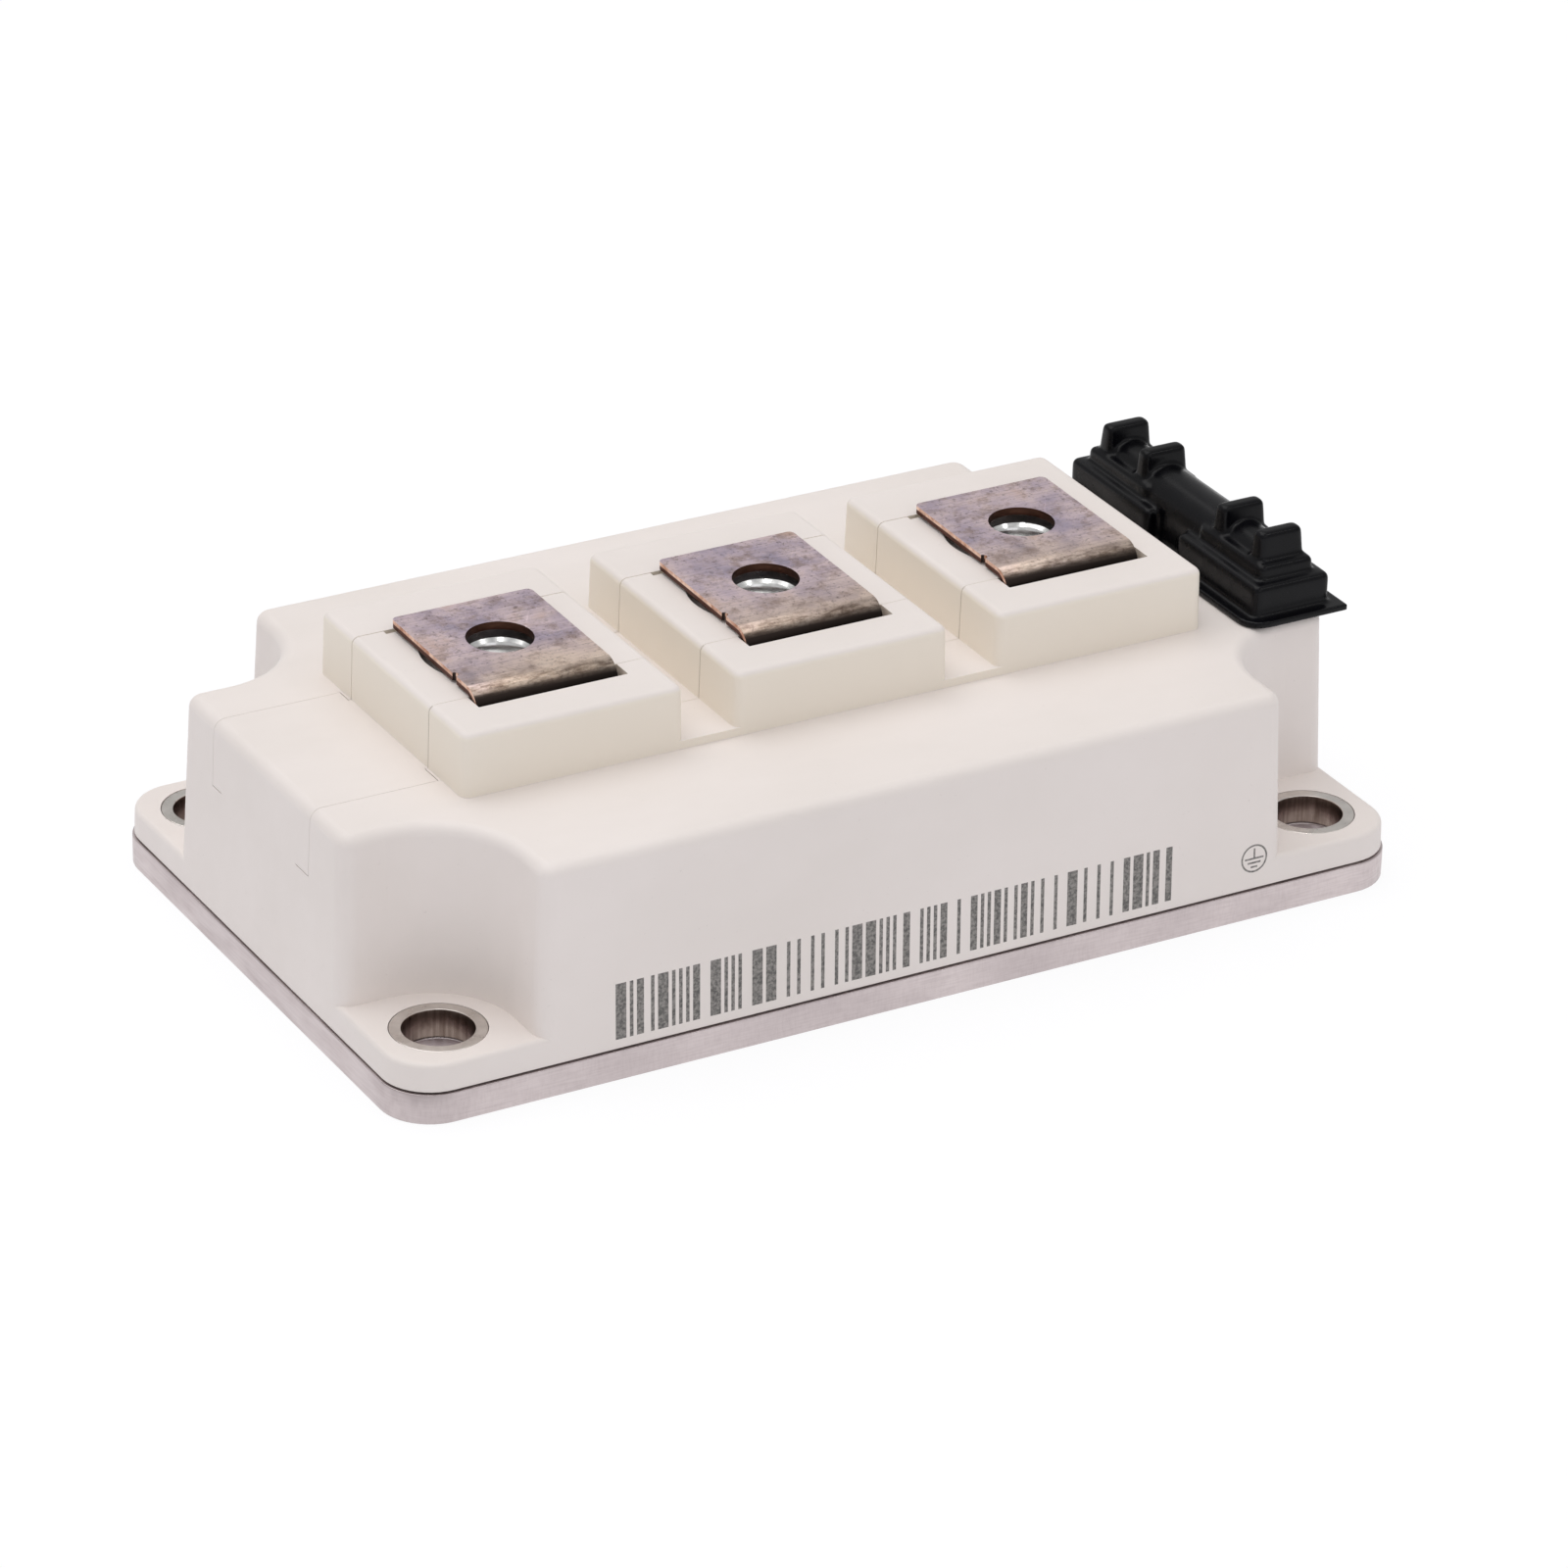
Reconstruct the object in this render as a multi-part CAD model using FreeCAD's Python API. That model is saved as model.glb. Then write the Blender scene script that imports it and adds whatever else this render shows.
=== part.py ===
import FreeCAD, Part
import math
import os

# Half-bridge power module of the 62 mm class, in millimetres.
# The origin is the centre of the underside of the baseplate, +Z points up,
# +X runs along the module to the end with the auxiliary tabs.

# Baseplate
plate_length = 106.4
plate_width = 61.4
plate_thickness = 3.0
plate_corner_radius = 5.0
hole_edge_distance = 6.7
plate_hole_radius = 3.25

# Adhesive bead between the baseplate and the housing
bead_thickness = 0.2
bead_inset = 0.5
bead_width = 1.3

# Moulded housing
housing_setback = 0.2
flange_thickness = 2.7
body_height = 19.5
wall_thickness = 2.2
deck_thickness = 2.4
wall_draft = 0.7
notch_clearance = 6.8
notch_radius = 8.3
wall_edge_radius = 1.5
deck_edge_radius = 1.2
flange_edge_radius = 0.5
inner_edge_radius = 0.5

# Steel bushings in the four corner holes
bushing_outer_radius = 4.5
bushing_bore_radius = 3.35
bushing_fit = 0.05

# Terminal blocks on the deck
terminal_count = 3
block_row_offset = 0.2
block_row_end_room = 0.3
block_front = -14.5
block_back = 15.0
block_height = 6.3
block_draft = 0.15
block_corner_radius = 0.9
block_edge_radius = 0.7
aisle_width = 5.2
aisle_rise = 0.85

# Nut carrier that slides in from the left end
carrier_front = -7.4
carrier_back = 8.2
carrier_depth = 6.7
carrier_end_wall = 2.2
plug_end_room = 0.3
plug_half_width = 10.0
trough_wall = 1.5
seam = 0.1
close_seam = 0.05
latch_length = 1.6
latch_width = 0.6
latch_depth = 1.5

# Nuts in the carrier, M6
nut_flats = 10.0
nut_height = 5.0
nut_bore_radius = 2.75
nut_chamfer = 0.55
nut_play = 0.1
nut_below_block = 0.55
nut_recess_radius = 7.55
nut_recess_depth = 1.0
screw_hole_radius = 3.4
screw_hole_depth = 4.6

# Power terminals, bent from copper strip
terminal_thickness = 0.8
terminal_side_room = 4.15
terminal_bend_radius = 1.7
terminal_gap = 0.2
terminal_springback = 0.5
terminal_rear = 8.3
terminal_leg_y = -8.8
terminal_hole_y = 0.4
terminal_hole_radius = 3.2
terminal_corner_radius = 0.6
terminal_nick_y = -4.6
terminal_nick_radius = 0.4
slot_play_left = 0.1
slot_play_right = 0.7
leg_play = 0.5
leg_split_height = 5.0
leg_joggle_height = 10.0
leg_joggle_drop = 3.0
foot_length = 3.8
foot_side_room = 2.25
foot_edge_room = 3.25
foot_bend_radius = 1.2

# Substrates: ceramic tile between two copper foils
tile_side_room = 7.3
tile_end_room = 1.3
tile_thickness = 0.4
tile_gap = 1.2
foil_thickness = 0.3
foil_margin = 1.0
foil_track_gap = 1.0
load_foil_width = 13.0
gate_foil_width = 1.6
pad_size = 1.4

# Chips and their bond wires
igbt_side_room = 2.4
diode_side_room = 3.9
chip_thickness = 0.2
chip_margin = 1.0
chip_gap = 0.4
bond_wire_radius = 0.2
bond_wire_count = 3
bond_foot_inset = 1.5

# Auxiliary tabs at the right end, 2.8 by 0.5
tab_width = 2.8
tab_thickness = 0.5
tab_wall_room = 3.5
tab_end_room = 4.5
tab_pair_shift = 0.2
tab_row_offset = 0.8
tab_rise = 7.3
tab_shoulder = 0.5
tab_shoulder_height = 3.0
tab_tail = 5.0
tab_fit = 0.05
lead_radius = 0.4
lead_height = 7.0
lead_bend_radius = 1.6

# Pedestals on the deck that carry the tabs
pedestal_height = 2.5
pedestal_width = 5.6
pedestal_overlap = 1.6

# Silicone gel over the substrates
gel_tab_room = 1.3

# Rubber cap over the tabs
cap_lip_thickness = 0.7
cap_lip_reach = 1.3
cap_lip_corner = 2.2
cap_wall = 1.1
cap_base_width = 8.5
cap_base_height = 3.8
cap_base_outer = 3.2
cap_cover_gap = 5.3
cap_step_inset = 1.2
cap_step_inner_inset = 2.0
cap_step_height = 1.5
cap_ear_width = 4.6
cap_ear_thickness = 1.6
cap_ear_height = 2.8
cap_ear_flare = 0.35
cap_ear_radius = 0.45
cap_ridge_radius = 2.3
cap_ridge_rise = 1.2
cap_bridge_radius = 2.9
cap_edge_radius = 0.6
cap_fit = 0.15

# Levels and places that follow from the sizes above
plate_top = plate_thickness
housing_bottom = plate_top + bead_thickness
flange_top = housing_bottom + flange_thickness
deck_top = housing_bottom + body_height
deck_bottom = deck_top - deck_thickness
block_top = deck_top + block_height
carrier_bottom = deck_top - carrier_depth
nut_top = block_top - nut_below_block
nut_bottom = nut_top - nut_height
half_length = plate_length / 2 - housing_setback
half_width = plate_width / 2 - housing_setback
hole_x = plate_length / 2 - hole_edge_distance
hole_y = plate_width / 2 - hole_edge_distance
notch_x = hole_x - notch_clearance
notch_y = hole_y - notch_clearance
block_row_length = 2 * (notch_x - block_row_end_room)
block_width = (block_row_length - (terminal_count - 1) * aisle_width) / terminal_count
terminal_pitch = block_width + aisle_width
first_terminal = block_row_offset - terminal_pitch * (terminal_count - 1) / 2
terminal_xs = [first_terminal + terminal_pitch * k for k in range(terminal_count)]
terminal_width = block_width - 2 * terminal_side_room
carrier_end = terminal_xs[-1] + nut_flats / 2 + carrier_end_wall
plug_inner_x = terminal_xs[0] - block_width / 2 - plug_end_room
foil_top = plate_top + 2 * foil_thickness + tile_thickness
chip_top = foil_top + chip_thickness
tile_length = notch_x - wall_thickness - tile_end_room - tile_gap / 2
tile_width = 2 * (half_width - wall_thickness - tile_side_room)
tile_xs = [side * (tile_gap + tile_length) / 2 for side in (-1, 1)]
foot_outer = terminal_width / 2 - foot_side_room
foot_inner = foot_outer * 2 / 5
tab_row_x = plate_length / 2 - tab_end_room
tab_outer_y = notch_y - tab_wall_room
tab_inner_y = tab_outer_y / 2 + tab_pair_shift
tab_ys = [tab_row_offset + y for y in (-tab_outer_y, -tab_inner_y, tab_inner_y, tab_outer_y)]
tab_bottom = deck_bottom - tab_shoulder_height - tab_tail
gel_top = tab_bottom - gel_tab_room


def vector(x, y, z=0.0):
    return FreeCAD.Vector(x, y, z)


def box(x0, x1, y0, y1, z0, z1):
    """Box between two corners."""
    return Part.makeBox(x1 - x0, y1 - y0, z1 - z0, vector(x0, y0, z0))


def upright_cylinder(radius, x, y, z0, z1):
    return Part.makeCylinder(radius, z1 - z0, vector(x, y, z0))


def rounded_polygon(corners, z=0.0):
    """Closed flat wire through corners (x, y, radius), each rounded by a tangent arc."""
    arcs = []
    for k, (x, y, radius) in enumerate(corners):
        here = vector(x, y, z)
        last = corners[k - 1]
        following = corners[(k + 1) % len(corners)]
        back = (vector(last[0], last[1], z) - here).normalize()
        ahead = (vector(following[0], following[1], z) - here).normalize()
        if radius == 0:
            arcs.append((here, None, here))
            continue
        half_angle = back.getAngle(ahead) / 2
        reach = radius / math.tan(half_angle)
        inward = (back + ahead).normalize()
        middle = here + inward * (radius / math.sin(half_angle) - radius)
        arcs.append((here + back * reach, middle, here + ahead * reach))
    edges = []
    for k, (start, middle, end) in enumerate(arcs):
        if middle is not None:
            edges.append(Part.Arc(start, middle, end).toShape())
        next_start = arcs[(k + 1) % len(arcs)][0]
        edges.append(Part.makeLine(end, next_start))
    return Part.Wire(edges)


def rectangle_corners(x0, x1, y0, y1, radius):
    return [(x0, y0, radius), (x1, y0, radius), (x1, y1, radius), (x0, y1, radius)]


def prism(wire, height):
    """Solid raised from a flat wire."""
    return Part.Face(wire).extrude(vector(0, 0, height))


def rounded_block(x0, x1, y0, y1, z0, z1, radius):
    """Box with rounded upright edges."""
    return prism(rounded_polygon(rectangle_corners(x0, x1, y0, y1, radius), z0), z1 - z0)


def tapered(lower, upper):
    """Solid between two like wires at different heights."""
    return Part.makeLoft([lower, upper], True, True)


def round_top(solid, radius):
    """Solid with the edges of its top face rounded."""
    top = solid.BoundBox.ZMax
    edges = [edge for edge in solid.Edges if edge.BoundBox.ZMin > top - 1e-4]
    return solid.makeFillet(radius, edges)


def fuse(first, *others):
    """One solid from pieces that touch or overlap, without leftover seams."""
    return first.fuse(list(others)).removeSplitter()


def save(name, shape):
    shape.exportStep("parts/" + name + ".step")


# Baseplate, bead and bushings

def plate_outline(inset, z):
    """Outline of the baseplate, moved inward."""
    x = plate_length / 2 - inset
    y = plate_width / 2 - inset
    return rounded_polygon(rectangle_corners(-x, x, -y, y, plate_corner_radius - inset), z)


def corner_holes(radius, z0, z1):
    """Four upright cylinders on the hole pattern."""
    places = [(sx * hole_x, sy * hole_y) for sx in (-1, 1) for sy in (-1, 1)]
    return [upright_cylinder(radius, x, y, z0, z1) for x, y in places]


def make_baseplate():
    plate = prism(plate_outline(0, 0), plate_thickness)
    return plate.cut(corner_holes(plate_hole_radius, -1, plate_thickness + 1))


def make_bead():
    outer = prism(plate_outline(housing_setback + bead_inset, plate_top), bead_thickness)
    inner = prism(plate_outline(housing_setback + bead_inset + bead_width, plate_top), bead_thickness)
    return outer.cut(inner)


def make_bushing(x, y):
    tube = upright_cylinder(bushing_outer_radius, x, y, plate_top, flange_top)
    return tube.cut(upright_cylinder(bushing_bore_radius, x, y, plate_top, flange_top))


# Housing

def body_outline(inset, z, edge_radius=wall_edge_radius):
    """Plan of the body: a rectangle with a rounded notch round each corner hole."""
    x, y = half_length - inset, half_width - inset
    nx, ny = notch_x - inset, notch_y - inset
    concave = notch_radius + inset
    corners = []
    for sx, sy in ((1, -1), (1, 1), (-1, 1), (-1, -1)):
        notch = [(sx * nx, sy * y, edge_radius), (sx * nx, sy * ny, concave), (sx * x, sy * ny, edge_radius)]
        if sx * sy > 0:
            notch.reverse()
        corners.extend(notch)
    return rounded_polygon(corners, z)


def make_body():
    """Drafted walls and deck, filled, with the deck's edge rounded."""
    walls = tapered(body_outline(0, housing_bottom), body_outline(wall_draft, deck_top))
    return round_top(walls, deck_edge_radius)


def make_flange():
    """Low plate that carries the bushings in the four notches."""
    inset = wall_draft * flange_thickness / body_height
    lower = plate_outline(housing_setback, housing_bottom)
    upper = plate_outline(housing_setback + inset, flange_top)
    return round_top(tapered(lower, upper), flange_edge_radius)


def raised_form(x0, x1, radius):
    """Drafted form from inside the deck up to the level of the block tops."""
    sections = []
    for inset, z in ((0, deck_bottom), (block_draft, block_top)):
        corners = rectangle_corners(x0 + inset, x1 - inset, block_front + inset, block_back - inset, radius)
        sections.append(rounded_polygon(corners, z))
    return tapered(*sections)


def make_block(x):
    """Raised block under one power terminal."""
    block = raised_form(x - block_width / 2, x + block_width / 2, block_corner_radius)
    return round_top(block, block_edge_radius)


def make_aisles():
    """Low step between the blocks, flush with their front and back."""
    row = raised_form(terminal_xs[0], terminal_xs[-1], 0)
    return row.common(box(-half_length, half_length, -half_width, half_width, deck_bottom, deck_top + aisle_rise))


def pedestal_span(side):
    """Lowest and highest Y of the pedestal under one pair of tabs."""
    inner = tab_row_offset + side * (tab_inner_y - pedestal_overlap)
    outer = tab_row_offset + side * (tab_outer_y + pedestal_overlap)
    return min(inner, outer), max(inner, outer)


def make_pedestal(side):
    x0 = tab_row_x - pedestal_width / 2
    y0, y1 = pedestal_span(side)
    return box(x0, x0 + pedestal_width, y0, y1, deck_bottom, deck_top + pedestal_height)


def make_outer_form():
    """Everything that shows of the plastic, still filled: housing and nut carrier in one."""
    blocks = [make_block(x) for x in terminal_xs]
    pedestals = [make_pedestal(side) for side in (-1, 1)]
    return fuse(make_body(), make_flange(), make_aisles(), *blocks, *pedestals)


def carrier_space(gap, close_gap):
    """Room of the nut carrier, widened by the gaps; the close one is at its front and the plug's sides."""
    beyond = half_length + housing_setback
    bar = box(-beyond, carrier_end + gap, carrier_front - close_gap, carrier_back + gap,
              carrier_bottom, 2 * block_top)
    plug_y = plug_half_width + close_gap
    plug = box(-beyond, plug_inner_x + gap, -plug_y, plug_y, carrier_bottom + seam - gap, 2 * block_top)
    return bar.fuse(plug)


def slot_span():
    """Lowest and highest Y of the slot that a terminal's leg comes out of."""
    leg_front = terminal_leg_y - terminal_thickness / 2
    return leg_front - leg_play, carrier_front


def inner_outline(z):
    """Plan of the hollow inside the walls."""
    return body_outline(wall_thickness, z, inner_edge_radius)


def make_cavity():
    """Hollow of the housing, with the trough of the nut carrier left standing in it."""
    hollow = prism(inner_outline(housing_bottom), deck_bottom - housing_bottom)
    trough_bottom = carrier_bottom - trough_wall
    trough = box(-half_length, carrier_end + trough_wall, slot_span()[0] - trough_wall,
                 carrier_back + trough_wall, trough_bottom, deck_bottom)
    plug_y = plug_half_width + trough_wall
    plug_trough = box(-half_length, plug_inner_x + trough_wall, -plug_y, plug_y, trough_bottom, deck_bottom)
    return hollow.cut([trough, plug_trough])


def terminal_slots():
    left = terminal_width / 2 + slot_play_left
    right = terminal_width / 2 + slot_play_right
    y0, y1 = slot_span()
    return [box(x - left, x + right, y0, y1, plate_top, 2 * block_top) for x in terminal_xs]


def tab_slots():
    x0 = tab_row_x - tab_width / 2 - tab_fit
    x1 = tab_row_x + tab_width / 2 + tab_fit
    half = tab_thickness / 2 + tab_fit
    return [box(x0, x1, y - half, y + half, plate_top, 2 * block_top) for y in tab_ys]


def make_housing(outer_form):
    cuts = [make_cavity(), carrier_space(seam, close_seam)]
    cuts += terminal_slots()
    cuts += tab_slots()
    cuts += corner_holes(bushing_outer_radius + bushing_fit, plate_top, flange_top + 1)
    return outer_form.cut(cuts)


# Nut carrier and nuts

def hexagon(flats, x, y, z):
    """Six-sided wire with two flats facing along X."""
    reach = flats / math.sqrt(3)
    angles = [math.radians(30 + 60 * k) for k in range(6)]
    return rounded_polygon([(x + reach * math.cos(a), y + reach * math.sin(a), 0) for a in angles], z)


def make_carrier(outer_form):
    """The carrier's outside is the part of the outer form that lies in its space."""
    carrier = outer_form.common(carrier_space(0, 0))
    cuts = []
    for x in terminal_xs:
        y = terminal_hole_y
        pocket = hexagon(nut_flats + 2 * nut_play, x, y, nut_bottom)
        cuts.append(prism(pocket, block_top))
        cuts.append(upright_cylinder(nut_recess_radius, x, y, block_top - nut_recess_depth, 2 * block_top))
        cuts.append(upright_cylinder(screw_hole_radius, x, y, nut_bottom - screw_hole_depth, nut_bottom))
        latch_x = x - terminal_width / 2
        cuts.append(box(latch_x - latch_length / 2, latch_x + latch_length / 2, carrier_back - latch_width,
                        carrier_back, block_top - latch_depth, 2 * block_top))
    return carrier.cut(cuts)


def make_nut(x):
    """Hexagon nut whose corners and bore are chamfered at both ends."""
    y = terminal_hole_y
    blank = prism(hexagon(nut_flats, x, y, nut_bottom), nut_height)
    corner = nut_flats / math.sqrt(3)
    flat = nut_flats / 2
    slope = corner - flat
    profile = [(0, nut_bottom), (flat, nut_bottom), (corner, nut_bottom + slope / 2),
               (corner, nut_top - slope / 2), (flat, nut_top), (0, nut_top)]
    points = [vector(x + r, y, z) for r, z in profile]
    turned = Part.Face(Part.makePolygon(points + points[:1])).revolve(vector(x, y, 0), vector(0, 0, 1), 360)
    bore = upright_cylinder(nut_bore_radius, x, y, nut_bottom, nut_top)
    wide = nut_bore_radius + nut_chamfer
    cones = [Part.makeCone(wide, nut_bore_radius, nut_chamfer, vector(x, y, nut_bottom)),
             Part.makeCone(nut_bore_radius, wide, nut_chamfer, vector(x, y, nut_top - nut_chamfer))]
    return blank.common(turned).cut([bore] + cones)


# Power terminals

def offset_corners(points, radii, distance):
    """Corners of a path moved sideways, with the radius that each bend then has."""
    directions = [(b - a).normalize() for a, b in zip(points, points[1:])]
    normals = [vector(-d.y, d.x) for d in directions]
    corners = [points[0] + normals[0] * distance]
    new_radii = [0]
    for k in range(1, len(points) - 1):
        middle = (normals[k - 1] + normals[k]).normalize()
        corners.append(points[k] + middle * (distance / middle.dot(normals[k])))
        turn = directions[k - 1].cross(directions[k]).z
        new_radii.append(radii[k - 1] - math.copysign(1, turn) * distance)
    corners.append(points[-1] + normals[-1] * distance)
    new_radii.append(0)
    return [(p.x, p.y, r) for p, r in zip(corners, new_radii)]


def bent_strip(points, radii, thickness, width):
    """Sheet-metal strip along a path in the YZ plane, centred on X."""
    left = offset_corners(points, radii, thickness / 2)
    right = offset_corners(points, radii, -thickness / 2)
    flat = prism(rounded_polygon(left + right[::-1]), width)
    flat.translate(vector(0, 0, -width / 2))
    flat.rotate(vector(0, 0, 0), vector(1, 1, 1), 120)
    return flat


def make_terminal(x):
    """Plate over the nut, bent down through the slot to two feet on the substrates."""
    half = terminal_thickness / 2
    plate_z = block_top + terminal_gap + half
    lift = (terminal_rear - terminal_leg_y) * math.tan(math.radians(terminal_springback))
    foot_z = foil_top + half
    toe_y = foil_spans()[0][1] - foot_edge_room
    path = [vector(terminal_rear, plate_z + lift), vector(terminal_leg_y, plate_z),
            vector(terminal_leg_y, leg_joggle_height), vector(toe_y, leg_joggle_height - leg_joggle_drop),
            vector(toe_y, foot_z), vector(toe_y - foot_length, foot_z)]
    radii = [terminal_bend_radius] + [foot_bend_radius] * 3
    strip = bent_strip(path, radii, terminal_thickness, terminal_width)
    hole = upright_cylinder(terminal_hole_radius, 0, terminal_hole_y, block_top, 2 * block_top)
    split_top = leg_joggle_height + leg_split_height
    between = box(-foot_inner, foot_inner, -half_width, 0, 0, split_top)
    beside = [box(-terminal_width, -foot_outer, -half_width, 0, 0, split_top),
              box(foot_outer, terminal_width, -half_width, 0, 0, split_top)]
    nick = upright_cylinder(terminal_nick_radius, -terminal_width / 2, terminal_nick_y, block_top, 2 * block_top)
    strip = strip.cut([hole, nick, between] + beside)
    strip = strip.makeFillet(terminal_corner_radius, rear_corner_edges(strip))
    strip.translate(vector(x, 0, 0))
    return strip


def rear_corner_edges(strip):
    """The two short upright edges at the rear end of a terminal plate."""
    rear = strip.BoundBox.YMax
    return [edge for edge in strip.Edges
            if edge.BoundBox.YMin > rear - terminal_thickness / 4 and edge.BoundBox.XLength < 1e-4
            and edge.BoundBox.ZLength > terminal_thickness / 2]


# Substrates, chips and wires

def make_tile(x):
    z = plate_top + foil_thickness
    return box(x - tile_length / 2, x + tile_length / 2, -tile_width / 2, tile_width / 2, z, z + tile_thickness)


def foil_spans():
    """Y ranges of the load, gate and chip foils on one tile."""
    front = -tile_width / 2 + foil_margin
    load = (front, front + load_foil_width)
    gate = (load[1] + foil_track_gap, load[1] + foil_track_gap + gate_foil_width)
    chip = (gate[1] + foil_track_gap, tile_width / 2 - foil_margin)
    return load, gate, chip


def make_foils(x):
    """Copper on both faces of a tile: one sheet below, three tracks above."""
    x0 = x - tile_length / 2 + foil_margin
    x1 = x + tile_length / 2 - foil_margin
    y0 = -tile_width / 2 + foil_margin
    upper = plate_top + foil_thickness + tile_thickness
    sheets = [box(x0, x1, y0, -y0, plate_top, plate_top + foil_thickness)]
    sheets += [box(x0, x1, a, b, upper, foil_top) for a, b in foil_spans()]
    return Part.makeCompound(sheets)


def chip_columns(x):
    """Centres of the two columns of chips, and the width of a column."""
    width = tile_length / 2 - foil_margin
    return [x - width / 2, x + width / 2], width


def chip_rows():
    """Y ranges of the diodes and of the larger transistors behind them."""
    front, back = foil_spans()[2]
    front += chip_margin
    back -= chip_margin
    depth = back - front - chip_gap
    return (front, front + depth * 3 / 7), (back - depth * 4 / 7, back)


def make_chips(x, side_room, row):
    columns, width = chip_columns(x)
    half = width / 2 - side_room
    return Part.makeCompound([box(c - half, c + half, row[0], row[1], foil_top, chip_top) for c in columns])


def wire_loop(x, y0, y1, lower_z, drop):
    """Half ring of wire from one bond to the next; the first foot reaches down by the drop."""
    reach = (y1 - y0) / 2
    section = Part.Face(Part.Wire(Part.makeCircle(bond_wire_radius, vector(x, y0, lower_z))))
    loop = section.revolve(vector(x, y0 + reach, lower_z), vector(-1, 0, 0), 180)
    if drop == 0:
        return loop
    return loop.fuse(upright_cylinder(bond_wire_radius, x, y0, lower_z - drop, lower_z)).removeSplitter()


def make_bond_wires(x):
    """Wires from each transistor to its diode, and from the diode to the load foil."""
    columns, width = chip_columns(x)
    pitch = (width - 2 * diode_side_room) / (bond_wire_count + 1)
    diodes, igbts = chip_rows()
    load_end = foil_spans()[0][1] - bond_foot_inset
    loops = []
    for column in columns:
        for k in range(bond_wire_count):
            wire_x = column + (k - (bond_wire_count - 1) / 2) * pitch
            loops.append(wire_loop(wire_x, diodes[1] - bond_foot_inset, igbts[0] + bond_foot_inset, chip_top, 0))
            loops.append(wire_loop(wire_x, load_end, diodes[0] + bond_foot_inset, chip_top, chip_thickness))
    return Part.makeCompound(loops)


# Auxiliary tabs and their leads

def make_tab(y):
    """Flat blade through the deck, with shoulders that bear on its underside."""
    half = tab_thickness / 2
    blade_x = tab_width / 2
    blade = box(tab_row_x - blade_x, tab_row_x + blade_x, y - half, y + half, tab_bottom, deck_top + tab_rise)
    shoulder_x = blade_x + tab_shoulder
    shoulder = box(tab_row_x - shoulder_x, tab_row_x + shoulder_x, y - half, y + half,
                   deck_bottom - tab_shoulder_height, deck_bottom)
    return fuse(blade, shoulder)


def make_lead(y):
    """Round lead from the foot of a tab down to the chip side of the nearer substrate."""
    pad_x = tile_xs[1] + tile_length / 2 - foil_margin - pad_size / 2
    bend = lead_bend_radius
    slant = bend * (1 - math.sqrt(0.5))
    start = vector(tab_row_x, y, tab_bottom)
    knee = vector(tab_row_x, y, lead_height + bend)
    knee_end = vector(tab_row_x - bend, y, lead_height)
    fall = vector(pad_x + bend, y, lead_height)
    fall_end = vector(pad_x, y, lead_height - bend)
    end = vector(pad_x, y, foil_top)
    first_arc = Part.Arc(knee, vector(tab_row_x - slant, y, lead_height + slant), knee_end).toShape()
    last_arc = Part.Arc(fall, vector(pad_x + slant, y, lead_height - slant), fall_end).toShape()
    path = Part.Wire([Part.makeLine(start, knee), first_arc, Part.makeLine(knee_end, fall), last_arc,
                      Part.makeLine(fall_end, end)])
    section = Part.Wire(Part.makeCircle(lead_radius, start))
    return path.makePipeShell([section], True, False)


# Gel

def make_gel(inner_pieces):
    """Poured gel that fills the bottom of the housing round everything in it."""
    pool = prism(inner_outline(plate_top), gel_top - plate_top)
    return pool.cut(inner_pieces)


# Rubber cap

def cap_cover_span(side):
    """Lowest and highest Y of one stepped cover of the cap."""
    inner = tab_row_offset + side * cap_cover_gap / 2
    outer = tab_row_offset + side * (tab_outer_y + cap_base_outer)
    return min(inner, outer), max(inner, outer)


def cap_levels():
    """Tops of the lip, the base and the step."""
    lip = deck_top + cap_lip_thickness
    base = deck_top + cap_base_height
    return lip, base, base + cap_step_height


def make_cap_ear(y):
    """Fin over one tab, wider at its foot."""
    step = cap_levels()[2]
    sections = []
    for flare, z in ((cap_ear_flare, step - cap_step_height), (0, step + cap_ear_height)):
        half_x = cap_ear_width / 2 + flare
        half_y = cap_ear_thickness / 2 + flare
        corners = rectangle_corners(tab_row_x - half_x, tab_row_x + half_x, y - half_y, y + half_y, cap_ear_radius)
        sections.append(rounded_polygon(corners, z))
    return round_top(tapered(*sections), cap_ear_radius)


def half_round(radius, y0, y1, top):
    """Ridge along Y with a round top and upright sides down to the deck."""
    centre = vector(tab_row_x, y0, top - radius)
    round_part = Part.makeCylinder(radius, y1 - y0, centre, vector(0, 1, 0))
    sides = box(tab_row_x - radius, tab_row_x + radius, y0, y1, deck_top, top - radius)
    return fuse(round_part, sides).common(box(0, plate_length, y0, y1, deck_top, top))


def make_cap_cover(side):
    """Base, step, ridge and two fins over one pair of tabs."""
    base, step = cap_levels()[1:]
    y0, y1 = cap_cover_span(side)
    half = cap_base_width / 2
    lower = rounded_block(tab_row_x - half, tab_row_x + half, y0, y1, deck_top, base, cap_edge_radius)
    insets = [cap_step_inset, cap_step_inner_inset]
    if side > 0:
        insets.reverse()
    upper = rounded_block(tab_row_x - half + cap_step_inset, tab_row_x + half - cap_step_inset,
                          y0 + insets[0], y1 - insets[1], deck_top, step, cap_edge_radius)
    ears = [y for y in tab_ys if y0 < y < y1]
    ridge = half_round(cap_ridge_radius, ears[0], ears[1], step + cap_ridge_rise)
    fins = [make_cap_ear(y) for y in ears]
    return fuse(round_top(lower, cap_edge_radius), round_top(upper, cap_edge_radius), ridge, *fins)


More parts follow.
